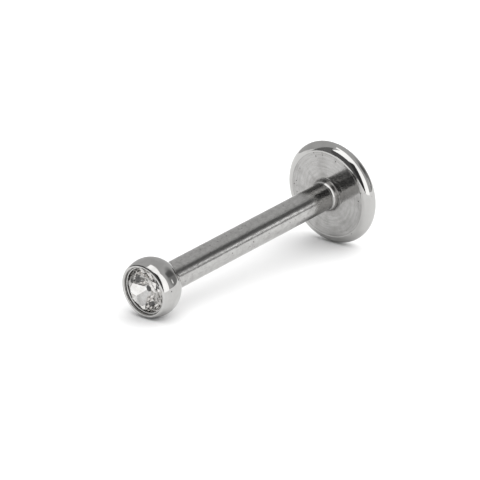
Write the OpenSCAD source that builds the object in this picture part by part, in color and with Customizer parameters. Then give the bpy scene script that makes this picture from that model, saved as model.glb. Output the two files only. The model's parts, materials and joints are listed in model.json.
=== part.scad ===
// Labret stud: a round disc welded to a straight bar, and a jewelled end that screws into the bar.
// It lies at rest on the rim of its disc and on the belly of its cup, so its axis rises towards
// the disc. The origin is on that surface, under the middle of the stud, with +X towards the disc.

/* [Bar] */
// Diameter of the bar
bar_d = 1.2; // [1:0.05:1.6]
// Wearable length, from the disc's inner face to the bar's free end
bar_len = 10; // [6:0.5:16]
// Metal left between the screw bore and the outside of the bar
bar_wall = 0.17; // [0.1:0.01:0.2]
// Chamfer on the bar's free end
bar_chamfer = 0.03; // [0.01:0.01:0.06]

/* [Foot of the bar] */
// Length of the welded foot that carries the bar on the disc
foot_len = 0.4; // [0.25:0.05:0.8]
// How far the foot stands proud of the bar where it meets the disc
foot_proud = 0.06; // [0.04:0.01:0.1]
// Height of the small step where the tapered foot ends on the bar
foot_step = 0.03; // [0.01:0.01:0.03]
// Radius of the fillet between the foot and the disc
foot_fillet = 0.12; // [0.06:0.02:0.2]

/* [Disc] */
// Diameter of the disc
disc_d = 4.5; // [3.5:0.1:6]
// Thickness of the disc, whose rim is a full round
disc_t = 0.72; // [0.5:0.02:1]

/* [Cup] */
// Diameter of the cup at its belly
cup_d = 2.5; // [2.2:0.05:3]
// Length of the cup behind the belly
cup_back = 0.96; // [0.9:0.02:1.2]
// Length of the cup in front of the belly
cup_front = 0.55; // [0.45:0.01:0.7]
// How far the cup draws in between its belly and its lip
cup_taper = 0.1; // [0.06:0.01:0.16]
// Radius of the rolled lip
lip_r = 0.07; // [0.04:0.01:0.09]
// Width of the flat seat that shows round the bar's end
seat_margin = 0.02; // [0.01:0.01:0.08]

/* [Stone] */
// How far the girdle lies inside the lip's inner edge
stone_inset = 0.06; // [0.04:0.01:0.1]
// Diameter of the table across its corners
table_d = 1.06; // [0.8:0.02:1.2]
// How far the table lies below the lip
table_drop = 0.02; // [0.01:0.01:0.06]
// Height of the crown above the girdle
crown_h = 0.22; // [0.16:0.01:0.28]
// Thickness of the girdle
girdle_t = 0.04; // [0.02:0.01:0.06]
// Depth of the pavilion below the girdle
pavilion_h = 0.7; // [0.6:0.02:0.76]
// Diameter of the circle that the star facets' outer corners lie on
star_d = 1.48; // [1.36:0.02:1.56]
// Diameter of the circle that the lower girdle facets' inner corners lie on
lower_d = 0.56; // [0.4:0.02:0.7]

/* [Screw] */
// Length of the stem inside the bar
stem_len = 2.4; // [1.6:0.1:3]
// Length of the stem inside the cup
stem_head = 0.28; // [0.2:0.02:0.3]
// Chamfer on the stem's tip
stem_chamfer = 0.08; // [0.02:0.01:0.1]
// Spare depth of the bore beyond the stem's tip
bore_spare = 0.25; // [0.1:0.05:0.6]

/* [Clearances] */
// Gap between the stem and the bore of the bar, all round
screw_gap = 0.02; // [0.01:0.01:0.05]
// Gap between the stem and the cup, all round
head_gap = 0.02; // [0.01:0.01:0.04]
// Gap between the bar's end and the cup's seat
seat_gap = 0.02; // [0.01:0.01:0.06]
// Gap between the stone and its seat
stone_gap = 0.02; // [0.01:0.01:0.04]

/* [Hidden] */
$fn = 64;

// Facets of the brilliant cut, counted round its axis
mains = 8;
// Angle between two points that draw an arc
arc_step = 9;
// Turn of each round piece's seam about the axis, from the top of the lying stud
seam_turn = 1;

bar_r = bar_d / 2;
bore_r = bar_r - bar_wall;
stem_r = bore_r - screw_gap;
foot_r = bar_r + foot_proud;
disc_r = disc_d / 2;
rim_r = disc_t / 2;
rim_centre = [disc_r - rim_r, -rim_r];

// Stations along the axis, from the disc's inner face towards the jewel
seat_z = bar_len + seat_gap;
belly_z = seat_z + cup_back;
front_z = belly_z + cup_front;
table_z = front_z - table_drop;
girdle_z = table_z - crown_h;
pavilion_z = girdle_z - girdle_t;

// The dome behind the belly is one arc, level at the belly, that runs through the seat's edge
cup_r = cup_d / 2;
seat_r = bar_r + seat_margin;
dome_in = cup_r - seat_r;
dome_r = (cup_back * cup_back + dome_in * dome_in) / (2 * dome_in);
dome_end = asin(cup_back / dome_r);

// The barrel in front of the belly is one arc, level at the belly and tangent to the rolled lip
lip_centre = [cup_r - cup_taper - lip_r, front_z - lip_r];
lip_reach = cup_front - lip_r;
barrel_r = (lip_reach * lip_reach + cup_taper * cup_taper) / (2 * cup_taper) + lip_r;
barrel_end = asin(lip_reach / (barrel_r - lip_r));

stone_r = lip_centre[0] - lip_r - stone_inset;
half_main = cos(180 / mains);
// Kite and main facets are flat when these corners lie on the lines from the girdle's corners
star_h = crown_h * (stone_r - star_d / 2 * half_main) / (stone_r - table_d / 2);
lower_h = pavilion_h * (1 - lower_d / 2 * half_main / stone_r);
pocket_r = stone_r + stone_gap;
head_bore_r = stem_r + head_gap;

// Tilt at which one line touches both the disc's rim and the cup's barrel
rest_run = belly_z + rim_r;
rest_rise = rim_centre[0] - (cup_r - barrel_r);
tilt = atan2(rest_rise, rest_run) + asin((rim_r - barrel_r) / norm([rest_run, rest_rise]));

// Height of the disc's centre above the surface, and the middle of the lying stud along X
rest_z = rim_centre[0] * cos(tilt) + rim_r - rim_r * sin(tilt);
end_disc = rim_r * cos(tilt) + rim_centre[0] * sin(tilt) + rim_r;
end_lip = lip_centre[1] * cos(tilt) + lip_centre[0] * sin(tilt) + lip_r;
mid_x = (end_disc - end_lip) / 2;

// Points of an arc about c, from angle a to angle b
function arc(c, r, a, b) =
    let (n = max(2, ceil(abs(b - a) / arc_step)))
    [for (i = [0 : n]) let (t = a + (b - a) * i / n) [c[0] + r * cos(t), c[1] + r * sin(t)]];

// Corners of a level polygon with n corners, turned by a share of one step
function level_ring(r, z, n, turn) = [for (i = [0 : n - 1])
    let (t = 360 * (i + turn) / n) [r * cos(t), r * sin(t), z]];

// Lays a piece that stands on the stud's axis down on the surface
module lie_down() {
    translate([-mid_x, 0, rest_z]) rotate([0, -90 - tilt, 0]) children();
}

// Turns an outline of radius and station into a round piece of the lying stud
module turned(outline) {
    lie_down() rotate([0, 0, seam_turn]) rotate_extrude() polygon(outline);
}

// Disc with a full round rim, its foot and the bar, with the screw bore in the bar's free end
module disc_and_bar() {
    outline = concat(
        [[0, -disc_t]],
        arc(rim_centre, rim_r, -90, 90),
        arc([foot_r + foot_fillet, foot_fillet], foot_fillet, -90, -180),
        [[bar_r + foot_step, foot_len - foot_step],
         [bar_r, foot_len],
         [bar_r, bar_len - bar_chamfer],
         [bar_r - bar_chamfer, bar_len],
         [bore_r, bar_len],
         [bore_r, bar_len - stem_len - bore_spare],
         [0, bar_len - stem_len - bore_spare - bore_r / 2]]);
    color("silver") turned(outline);
}

// Plain stem that stands for the screw thread between the bar and the cup
module screw_stem() {
    outline = [[0, bar_len - stem_len],
               [stem_r - stem_chamfer, bar_len - stem_len],
               [stem_r, bar_len - stem_len + stem_chamfer],
               [stem_r, seat_z + stem_head],
               [0, seat_z + stem_head]];
    color("gray") turned(outline);
}

// Domed cup with a rolled lip, a pocket for the stone and a blind hole for the stem
module jewel_cup() {
    outline = concat(
        [[head_bore_r, seat_z]],
        arc([cup_r - dome_r, belly_z], dome_r, -dome_end, 0),
        arc([cup_r - barrel_r, belly_z], barrel_r, arc_step / 2, barrel_end),
        arc(lip_centre, lip_r, barrel_end, 180),
        [[pocket_r, girdle_z],
         [pocket_r, pavilion_z],
         [0, pavilion_z - pavilion_h - stone_gap],
         [0, seat_z + stem_head + head_gap],
         [head_bore_r, seat_z + stem_head + head_gap]]);
    color("silver") turned(outline);
}

// Round brilliant: table, 8 stars, 8 kites, 16 upper girdle facets, girdle and pavilion
module stone() {
    n = mains;
    corners = concat(
        level_ring(table_d / 2, table_z, n, 0),
        level_ring(star_d / 2, girdle_z + star_h, n, 0.5),
        level_ring(stone_r, girdle_z, 2 * n, 0),
        level_ring(stone_r, pavilion_z, 2 * n, 0),
        level_ring(lower_d / 2, pavilion_z - lower_h, n, 0.5),
        [[0, 0, pavilion_z - pavilion_h]]);
    // Corner numbers of the table, star, girdle, lower girdle and pavilion rings, and of the culet
    table = [for (i = [0 : n]) i % n];
    star = [for (i = [0 : n]) n + i % n];
    girdle = [for (i = [0 : 2 * n]) 2 * n + i % (2 * n)];
    lower = [for (i = girdle) i + 2 * n];
    main = [for (i = star) i + 5 * n];
    culet = 7 * n;
    facets = concat(
        [[for (i = [n - 1 : -1 : 0]) table[i]]],
        [for (i = [0 : n - 1]) [table[i], table[i + 1], star[i]]],
        [for (i = [1 : n]) [table[i], star[i], girdle[2 * i], star[i - 1]]],
        [for (i = [0 : n - 1], j = [0, 1]) [star[i], girdle[2 * i + j + 1], girdle[2 * i + j]]],
        [for (i = [0 : 2 * n - 1]) [girdle[i], girdle[i + 1], lower[i + 1], lower[i]]],
        [for (i = [0 : n - 1], j = [0, 1]) [main[i], lower[2 * i + j], lower[2 * i + j + 1]]],
        [for (i = [1 : n]) [culet, main[i - 1], lower[2 * i], main[i]]]);
    color([0.9, 0.92, 0.95]) lie_down() polyhedron(corners, facets);
}

disc_and_bar();
screw_stem();
jewel_cup();
stone();
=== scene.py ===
"""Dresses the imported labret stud: its metal, its stone, and the plain studio that it lies in.

Sizes are in millimetres. Stations run along the stud's axis from the disc's inner face towards the
jewel, and radii run out from that axis.
"""
import json
import logging
import math
from dataclasses import dataclass, field
from enum import Enum, IntEnum
from functools import partial
from typing import NamedTuple

import bpy
import numpy as np
from mathutils import Matrix, Vector


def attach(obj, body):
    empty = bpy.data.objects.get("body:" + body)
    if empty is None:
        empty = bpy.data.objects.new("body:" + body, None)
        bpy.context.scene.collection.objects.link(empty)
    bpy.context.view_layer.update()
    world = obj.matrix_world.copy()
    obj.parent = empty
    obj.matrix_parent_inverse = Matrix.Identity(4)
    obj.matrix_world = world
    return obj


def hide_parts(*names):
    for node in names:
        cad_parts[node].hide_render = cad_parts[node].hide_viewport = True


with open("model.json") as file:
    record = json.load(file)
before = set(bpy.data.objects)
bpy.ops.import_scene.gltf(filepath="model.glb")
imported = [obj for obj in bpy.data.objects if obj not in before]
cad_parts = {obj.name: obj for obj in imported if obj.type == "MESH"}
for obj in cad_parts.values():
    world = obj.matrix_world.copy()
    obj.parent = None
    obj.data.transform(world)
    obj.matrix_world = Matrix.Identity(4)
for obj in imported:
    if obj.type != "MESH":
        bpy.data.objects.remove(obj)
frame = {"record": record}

LOG = logging.getLogger("labret_stud")
MM = 0.001
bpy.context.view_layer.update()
# Points of an outline that lie closer together than this, in mm, are one point
SAME_POINT = 1e-6
# A noise texture's values lie mostly between these
NOISE_LOW, NOISE_HIGH = 0.3, 0.7
# Name, side and width in mm of the marked band along an outline's outer corners, where the metal is worn,
# and along its inner corners, where shade is painted
CORNER_BANDS = (("wear", 1, 0.03), ("crease_shade", -1, 0.022))


class Body(Enum):
    """The bodies that the pieces ride on."""

    POST = "post"
    SCREW = "screw"
    JEWELLED_END = "jewelled_end"


class Slot(Enum):
    """The record's material slots."""

    STEEL = "steel"
    THREAD = "thread_steel"
    POLISHED = "polished_steel"
    CRYSTAL = "crystal"


class Marks(Enum):
    """Which way a tool has left its marks on the metal."""

    TURNED = "turned"
    DRAWN = "drawn"


class SeenBy(Enum):
    """Which parts of the stud a card shows in."""

    ALL = "all"
    METAL = "metal"
    STONE = "stone"


class PostZone(IntEnum):
    """The differently finished parts of the post."""

    FACE = 0
    RIM = 1
    FOOT = 2
    BAR = 3
    BORE = 4


class CupZone(IntEnum):
    """The differently finished parts of the cup."""

    OUTSIDE = 0
    POCKET = 1


class StoneZone(IntEnum):
    """The differently finished parts of the stone."""

    CLEAR = 0
    FOIL = 1
    CULET = 2


@dataclass(frozen=True)
class StudAxis:
    """The line that every round piece is turned about.

    Args:
        centre: Middle of the disc's inner face, in mm.
        up: Unit vector across the axis, nearest to straight up.
        side: Unit vector across the axis, level.
        along: Unit vector from the disc to the jewel.
    """

    centre: np.ndarray
    up: np.ndarray
    side: np.ndarray
    along: np.ndarray

    @classmethod
    def from_record(cls, record: dict, mount: str = "bar", station: float = 5.0) -> "StudAxis":
        """Reads the axis from the pin that the record states on the bar.

        Args:
            record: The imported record.
            mount: Name of the pin.
            station: Station of the pin's place on the axis.

        Returns:
            The axis, in mm.
        """
        pin = next(m for m in record["mounts"] if m["name"] == mount)
        along = np.array(pin["axis"], float)
        along /= np.linalg.norm(along)
        side = np.array([0.0, 1.0, 0.0])
        up = np.cross(side, along)
        centre = np.array(pin["pos_m"], float) / MM - station * along
        return cls(centre, up, side, along)

    def place(self, radius: np.ndarray, angle: np.ndarray, station: np.ndarray) -> np.ndarray:
        """Places points given by radius, angle and station.

        P = centre + radius (cos angle up + sin angle side) + station along, in metres.

        Args:
            radius: Distances from the axis, in mm.
            angle: Angles about the axis from up towards side, in radians.
            station: Distances along the axis, in mm.

        Returns:
            An array of points with x, y and z in its last place.
        """
        radius, angle, station = np.broadcast_arrays(radius, angle, station)
        out = np.cos(angle)[..., None] * self.up + np.sin(angle)[..., None] * self.side
        return MM * (self.centre + radius[..., None] * out + station[..., None] * self.along)


@dataclass
class Outline:
    """Half section of a round piece, with the metal on the left of its direction of travel."""

    corners: list = field(default_factory=list)
    reaches: list = field(default_factory=list)
    zones: list = field(default_factory=list)

    def to(self, radius: float, station: float, zone: IntEnum, reach: float = 0.0) -> None:
        """Adds a corner.

        Args:
            radius: Distance from the axis, in mm.
            station: Distance along the axis, in mm.
            zone: Finish of the surface that ends at this corner.
            reach: How far the corner's rounding runs along its sides, in mm.
        """
        self.corners.append((float(radius), float(station)))
        self.reaches.append(reach)
        self.zones.append(int(zone))

    def through(self, radii: np.ndarray, stations: np.ndarray, zone: IntEnum) -> None:
        """Adds a corner at each place of two arrays, or of an array and a number."""
        for radius, station in np.broadcast(radii, stations):
            self.to(radius, station, zone)

    def arc(self, centre: tuple, radius: float, start: float, stop: float, zone: IntEnum,
            step: float = 3.0) -> None:
        """Adds an arc, centre + radius (cos a, sin a).

        Args:
            centre: Radius and station of the arc's centre, in mm.
            radius: Radius of the arc, in mm.
            start: First angle, in degrees.
            stop: Last angle, in degrees.
            zone: Finish of the surface.
            step: Largest step between two points, in degrees.
        """
        count = max(2, math.ceil(abs(stop - start) / step)) + 1
        angle = np.radians(np.linspace(start, stop, count))
        self.through(centre[0] + radius * np.cos(angle), centre[1] + radius * np.sin(angle), zone)

    def points(self, steps: int = 6) -> tuple:
        """Rounds the corners.

        A corner p with reach s becomes (1-t)^2 a + 2t(1-t) p + t^2 b, where a and b lie on its two
        sides, a distance s from it.

        Args:
            steps: Steps across each rounded corner.

        Returns:
            Points of the outline, and the zone of the surface between each two of them.
        """
        p = np.array(self.corners)
        reach = np.array(self.reaches)[:, None]
        zone = np.array(self.zones)
        back = np.vstack([p[:1], p[:-1]]) - p
        ahead = np.vstack([p[1:], p[-1:]]) - p
        a, b = (p + reach * v / np.maximum(np.linalg.norm(v, axis=1, keepdims=True), SAME_POINT)
                for v in (back, ahead))
        t = np.linspace(0, 1, steps + 1)[None, :, None]
        curve = (1 - t) ** 2 * a[:, None] + 2 * t * (1 - t) * p[:, None] + t ** 2 * b[:, None]
        past_middle = np.arange(steps + 1) > steps / 2
        next_zone = np.append(zone[1:], zone[-1])
        zones = np.where(past_middle[None, :], next_zone[:, None], zone[:, None])
        flat, zones = curve.reshape(-1, 2), zones.reshape(-1)
        keep = np.append(True, np.linalg.norm(np.diff(flat, axis=0), axis=1) > SAME_POINT)
        return flat[keep], zones[keep][1:]


def corner_marks(points: np.ndarray, side: int, spread: float) -> np.ndarray:
    """Finds where an outline's outer corners would be rubbed, and where shade is painted into its inner
    corners.

    mark(s) = sum over points i of max(side turn_i, 0) exp(-(s - s_i)^2 / (2 spread^2)), where s is
    the length along the outline and turn_i is the left turn at point i.

    Args:
        points: Outline of radius and station, in mm.
        side: 1 for the outer corners, -1 for the inner ones.
        spread: Width of the marked band, in mm.

    Returns:
        One value from 0 to 1 for each point.
    """
    step = np.diff(points, axis=0)
    length = np.append(0.0, np.cumsum(np.linalg.norm(step, axis=1)))
    heading = np.unwrap(np.arctan2(step[:, 1], step[:, 0]))
    turn = np.clip(side * np.append(np.append(0.0, np.diff(heading)), 0.0), 0, None)
    apart = (length[:, None] - length[None, :]) / spread
    return np.clip(np.exp(-apart ** 2 / 2) @ turn, 0, 1)


def new_piece(name: str, points: np.ndarray, faces: list, materials: list, zones: np.ndarray,
              sharp: float = 28.0) -> bpy.types.Object:
    """Puts a mesh into the scene.

    Args:
        name: Name of the piece.
        points: Corner points, in metres.
        faces: Corner numbers of each face.
        materials: Materials of the piece.
        zones: Number of the material of each face.
        sharp: Angle between faces above which their edge stays sharp, in degrees, or 0 for flat faces.

    Returns:
        The new object, at the origin.
    """
    mesh = bpy.data.meshes.new(name)
    mesh.from_pydata(points.reshape(-1, 3), [], faces)
    for material in materials:
        mesh.materials.append(material)
    mesh.polygons.foreach_set("material_index", np.asarray(zones, np.int32))
    mesh.polygons.foreach_set("use_smooth", np.full(len(faces), sharp > 0))
    if sharp > 0:
        mesh.set_sharp_from_angle(angle=math.radians(sharp))
    mesh.update()
    piece = bpy.data.objects.new(name, mesh)
    bpy.context.scene.collection.objects.link(piece)
    return piece


def set_values(piece: bpy.types.Object, name: str, values: np.ndarray) -> None:
    """Stores one number for each point of a piece, which its materials read by name."""
    piece.data.attributes.new(name, "FLOAT", "POINT").data.foreach_set("value", values)


def rows_of_quads(number: np.ndarray) -> tuple:
    """Joins rows of points that run round the axis.

    Args:
        number: Number of each point, by row and by step round the axis.

    Returns:
        The four corners of each face, by row and step, and the numbers of the next points round.
    """
    right = np.roll(number, -1, axis=1)
    return np.stack([number[:-1], right[:-1], right[1:], number[1:]], -1), right


def turned_piece(name: str, axis: StudAxis, outline: Outline, materials: list,
                 segments: int = 288) -> bpy.types.Object:
    """Turns an outline about the stud's axis into a closed surface.

    Args:
        name: Name of the piece.
        axis: The axis.
        outline: Half section, from pole to pole.
        materials: Materials, by the outline's zones.
        segments: Steps around the axis.

    Returns:
        The new piece.
    """
    points, zones = outline.points()
    angle = np.arange(segments) * 2 * np.pi / segments
    grid = axis.place(points[:, :1], angle[None, :], points[:, 1:])
    number = np.arange(len(points) * segments).reshape(-1, segments)
    pole = points[:, 0] < SAME_POINT
    number[pole] = number[pole][:, :1]
    kept, flat = np.unique(number, return_inverse=True)
    quads, _ = rows_of_quads(flat.reshape(number.shape))
    low, high = pole[:-1], pole[1:]
    plain = ~(low | high)
    faces = quads[plain].reshape(-1, 4).tolist()
    faces += quads[low][:, :, [0, 2, 3]].reshape(-1, 3).tolist()
    faces += quads[high][:, :, [0, 1, 2]].reshape(-1, 3).tolist()
    zone = np.concatenate([np.repeat(zones[part], segments) for part in (plain, low, high)])
    piece = new_piece(name, grid.reshape(-1, 3)[kept], faces, materials, zone)
    for mark, side, spread in CORNER_BANDS:
        set_values(piece, mark, np.repeat(corner_marks(points, side, spread), segments)[kept])
    return piece


class Nodes:
    """Adds and joins the nodes of one tree."""

    def __init__(self, tree: bpy.types.NodeTree) -> None:
        """Takes a node tree and clears it."""
        self.tree = tree
        tree.nodes.clear()

    def add(self, kind: str, inputs: dict | None = None, **settings: object) -> bpy.types.Node:
        """Adds a node.

        Args:
            kind: Blender's name of the node type.
            inputs: Values or sockets by the input's name or number.
            settings: Other properties of the node.

        Returns:
            The node.
        """
        node = self.tree.nodes.new(kind)
        for name, value in settings.items():
            setattr(node, name, value)
        for name, value in (inputs or {}).items():
            if isinstance(value, bpy.types.NodeSocket):
                self.tree.links.new(value, node.inputs[name])
            else:
                node.inputs[name].default_value = value
        return node

    def group(self, tree: bpy.types.NodeTree, **inputs: object) -> bpy.types.NodeOutputs:
        """Places a node group and returns its outputs."""
        return self.add("ShaderNodeGroup", inputs, node_tree=tree).outputs

    def math(self, operation: str, *values: object, clamp: bool = False) -> bpy.types.NodeSocket:
        """Adds a Math node and returns its result."""
        return self.add("ShaderNodeMath", dict(enumerate(values)), operation=operation,
                        use_clamp=clamp).outputs[0]

    def vector(self, operation: str, *values: object) -> bpy.types.NodeSocket:
        """Adds a Vector Math node and returns its vector, or its number where it gives one."""
        node = self.add("ShaderNodeVectorMath", dict(enumerate(values)), operation=operation)
        return node.outputs["Value" if operation in ("DOT_PRODUCT", "LENGTH") else "Vector"]

    def xyz(self, *parts: object) -> bpy.types.NodeSocket:
        """Joins up to three numbers into a vector."""
        return self.add("ShaderNodeCombineXYZ", dict(enumerate(parts))).outputs[0]

    def span(self, value: object, low: float, high: float, to_low: float, to_high: float,
             smooth: bool = False) -> bpy.types.NodeSocket:
        """Maps one range of a value to another, clamped.

        Args:
            value: The value or its socket.
            low: Start of its range.
            high: End of its range.
            to_low: Result at the start.
            to_high: Result at the end.
            smooth: Whether the result eases in and out.

        Returns:
            The result.
        """
        kind = "SMOOTHSTEP" if smooth else "LINEAR"
        return self.add("ShaderNodeMapRange", {0: value, 1: low, 2: high, 3: to_low, 4: to_high},
                        interpolation_type=kind).outputs[0]

    def noise(self, vector: object, scale: float = 1.0, detail: float = 2.0,
              roughness: float = 0.5) -> bpy.types.NodeSocket:
        """Adds a noise texture and returns its value."""
        return self.add("ShaderNodeTexNoise", {"Vector": vector, "Scale": scale, "Detail": detail,
                                               "Roughness": roughness}).outputs[0]

    def mix(self, factor: object, low: object, high: object) -> bpy.types.NodeSocket:
        """Mixes two colours.

        Args:
            factor: Share of the second colour.
            low: The first colour, as three numbers or a socket.
            high: The second colour, likewise.

        Returns:
            The result.
        """
        low, high = (c if isinstance(c, bpy.types.NodeSocket) else (*c, 1.0) for c in (low, high))
        return self.add("ShaderNodeMix", {"Factor": factor, "A": low, "B": high},
                        data_type="RGBA").outputs["Result"]

    def bump(self, height: object, depth: float, **options: object) -> bpy.types.NodeSocket:
        """Raises the surface by a height of so many mm, or sinks it, and returns the normal.

        Args:
            height: Height of the surface, from 0 to 1.
            depth: Distance between heights 0 and 1, in mm, with a minus sign for a hollow.
            options: Normal, where an earlier bump goes on.

        Returns:
            The new normal.
        """
        return self.add("ShaderNodeBump", {"Height": height, "Distance": abs(depth) * MM, **options},
                        invert=depth < 0).outputs[0]


class NodeGroup(Nodes):
    """A shader node group with named sockets."""

    def __init__(self, name: str, **inputs: float | None) -> None:
        """Starts the group.

        Args:
            name: Name of the group.
            inputs: Default number by the input's name, or None for a vector.
        """
        super().__init__(bpy.data.node_groups.new(name, "ShaderNodeTree"))
        for socket, default in inputs.items():
            made = self._socket(socket, "INPUT", default is None)
            if default is not None:
                made.default_value = default
        self.given = self.add("NodeGroupInput").outputs

    def _socket(self, name: str, way: str, is_vector: bool) -> bpy.types.NodeTreeInterfaceSocket:
        """Adds a socket to the group."""
        kind = "NodeSocketVector" if is_vector else "NodeSocketFloat"
        return self.tree.interface.new_socket(name, in_out=way, socket_type=kind)

    def give(self, **results: bpy.types.NodeSocket) -> bpy.types.NodeTree:
        """Makes an output for each result.

        Args:
            results: Vectors and numbers by the output's name.

        Returns:
            The finished group.
        """
        for name, socket in results.items():
            self._socket(name, "OUTPUT", socket.type == "VECTOR")
        self.add("NodeGroupOutput", results)
        return self.tree


class SharedEffects:
    """The node groups that more than one finish uses, all in mm in the stud's own frame."""

    def __init__(self, axis: StudAxis) -> None:
        """Builds every group.

        Args:
            axis: The stud's axis.
        """
        self.stud_coordinates = self._stud_coordinates(axis)
        self.turning_marks = self._turning_marks()
        self.drawn_lines = self._drawn_lines()
        self.hairlines = self._hairlines()
        self.pits = self._pits()
        self.rubbed_edges = self._rubbed_edges()
        self.foot_darkening = self._foot_darkening()

    def _stud_coordinates(self, axis: StudAxis) -> bpy.types.NodeTree:
        """Turns object coordinates into mm across and along the stud, and a unit vector outwards.

        Args:
            axis: The stud's axis.

        Returns:
            The group.
        """
        group = NodeGroup("stud_coordinates", Object=None)
        from_centre = group.vector("SUBTRACT", group.given["Object"], tuple(MM * axis.centre))
        up, side, along = (group.vector("DOT_PRODUCT", from_centre, tuple(line / MM))
                           for line in (axis.up, axis.side, axis.along))
        across = group.xyz(up, side)
        return group.give(Local=group.xyz(up, side, along), Outward=group.vector("NORMALIZE", across),
                          Radius=group.vector("LENGTH", across), Station=along)

    def _turning_marks(self) -> bpy.types.NodeTree:
        """Rings left by a turning tool: noise of (outward x arc, (radius + station) x rings).

        Returns:
            The group.
        """
        group = NodeGroup("turning_marks", Outward=None, Radius=0.0, Station=0.0, Rings=20.0, Arc=1.0)
        arc = group.vector("MULTIPLY", group.given["Outward"], group.given["Arc"])
        run = group.math("ADD", group.given["Radius"], group.given["Station"])
        ring = group.math("MULTIPLY", run, group.given["Rings"])
        place = group.vector("ADD", arc, group.xyz(0.0, 0.0, ring))
        slow = group.vector("MULTIPLY", place, (1.6, 1.6, 0.09))
        return group.give(Height=group.noise(place, 1.0, 3.0, 0.6), Patches=group.noise(slow))

    def _drawn_lines(self) -> bpy.types.NodeTree:
        """Lines drawn along the bar: noise stretched along the axis, fine and broken.

        Returns:
            The group.
        """
        group = NodeGroup("drawn_lines", Local=None, Across=14.0, Along=1.2)
        across = group.given["Across"]
        scale = group.xyz(across, across, group.given["Along"])
        place = group.vector("MULTIPLY", group.given["Local"], scale)
        slow = group.vector("MULTIPLY", place, (0.25, 0.25, 0.8))
        return group.give(Height=group.noise(place, 1.0, 4.0, 0.65),
                          Patches=group.noise(slow, 1.0, 3.0, 0.55))

    def _hairlines(self) -> bpy.types.NodeTree:
        """Hairline scratches: the thin bands where a slow, bent noise crosses its middle value.

        Returns:
            The group.
        """
        group = NodeGroup("hairlines", Local=None, Size=3.0, Width=0.012)
        sweep = group.vector("MULTIPLY", group.given["Local"], (1.0, 2.3, 0.6))
        value = group.noise(group.vector("MULTIPLY", sweep, group.given["Size"]), 1.0, 1.0, 0.4)
        off = group.math("ABSOLUTE", group.math("SUBTRACT", value, 0.5))
        line = group.math("SUBTRACT", 1.0, group.math("DIVIDE", off, group.given["Width"]), clamp=True)
        gate = group.span(group.noise(group.given["Local"], 2.7, 1.0), 0.45, 0.6, 0.0, 1.0)
        return group.give(Mask=group.math("MULTIPLY", line, gate))

    def _pits(self) -> bpy.types.NodeTree:
        """Small pits: the middles of some cells of a cell pattern.

        Returns:
            The group.
        """
        group = NodeGroup("pits", Local=None, Radius=0.0, Density=6.0, Share=0.15, From=0.0)
        cells = group.add("ShaderNodeTexVoronoi", {"Vector": group.given["Local"],
                                                   "Scale": group.given["Density"]}).outputs
        spot = group.span(cells["Distance"], 0.1, 0.24, 1.0, 0.0, smooth=True)
        pick = group.add("ShaderNodeSeparateColor", {0: cells["Color"]}).outputs[0]
        chosen = group.math("LESS_THAN", pick, group.given["Share"])
        outside = group.math("GREATER_THAN", group.given["Radius"], group.given["From"])
        return group.give(Mask=group.math("MULTIPLY", group.math("MULTIPLY", spot, outside), chosen))

    def _rubbed_edges(self) -> bpy.types.NodeTree:
        """Wear along outer corners, broken up by noise.

        Returns:
            The group.
        """
        group = NodeGroup("rubbed_edges", Wear=0.0, Local=None)
        broken = group.span(group.noise(group.given["Local"], 9.0, 3.0), NOISE_LOW, NOISE_HIGH, 0.4, 1.0)
        edge = group.span(group.given["Wear"], 0.3, 0.9, 0.0, 1.0, smooth=True)
        return group.give(Mask=group.math("MULTIPLY", edge, broken))

    def _foot_darkening(self) -> bpy.types.NodeTree:
        """Darkening round the foot: falls off over 0.3 mm outwards and 1.6 mm along.

        Returns:
            The group.
        """
        bar_radius, outwards, lengthwise = 0.6, 0.3, 1.6
        group = NodeGroup("foot_darkening", Local=None, Radius=0.0, Station=0.0)
        out = group.math("DIVIDE", group.math("SUBTRACT", group.given["Radius"], bar_radius), outwards)
        along = group.math("DIVIDE", group.math("ABSOLUTE", group.given["Station"]), lengthwise)
        squares = (group.math("POWER", out, 2.0), group.math("POWER", along, 2.0))
        away = group.math("SQRT", group.math("ADD", *squares))
        uneven = group.math("MULTIPLY", group.noise(group.given["Local"], 3.0, 3.0), 0.5)
        return group.give(Haze=group.span(group.math("ADD", away, uneven), 0.9, 1.75, 1.0, 0.0, smooth=True))


class BlankMaterial(Nodes):
    """The nodes of a new material."""

    def __init__(self, name: str) -> None:
        """Makes the material, without nodes.

        Args:
            name: Name of the material.
        """
        self.material = bpy.data.materials.new(name)
        self.material.use_nodes = True
        super().__init__(self.material.node_tree)

    def shaded(self, kind: str, inputs: dict) -> bpy.types.Material:
        """Ends the nodes in a shader.

        Args:
            kind: Blender's name of the shader node.
            inputs: The shader's inputs.

        Returns:
            The material.
        """
        shader = self.add(kind, inputs).outputs[0]
        self.add("ShaderNodeOutputMaterial", {"Surface": shader})
        return self.material


class StudMaterial(BlankMaterial):
    """The nodes of a material that knows where on the stud it is."""

    def __init__(self, name: str, effects: SharedEffects) -> None:
        """Makes the material and its stud coordinates.

        Args:
            name: Name of the material.
            effects: The shared node groups.
        """
        super().__init__(name)
        self.effects = effects
        place = self.add("ShaderNodeTexCoord").outputs["Object"]
        self.stud = self.group(effects.stud_coordinates, Object=place)

    def effect(self, tree: bpy.types.NodeTree, **inputs: object) -> bpy.types.NodeOutputs:
        """Places a shared effect, and gives it the stud coordinates that it has inputs for.

        Args:
            tree: The effect's group.
            inputs: Its other inputs.

        Returns:
            Its outputs.
        """
        asked = [item.name for item in tree.interface.items_tree if item.in_out == "INPUT"]
        places = {name: self.stud[name] for name in self.stud.keys() if name in asked}
        return self.group(tree, **places, **inputs)


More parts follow.
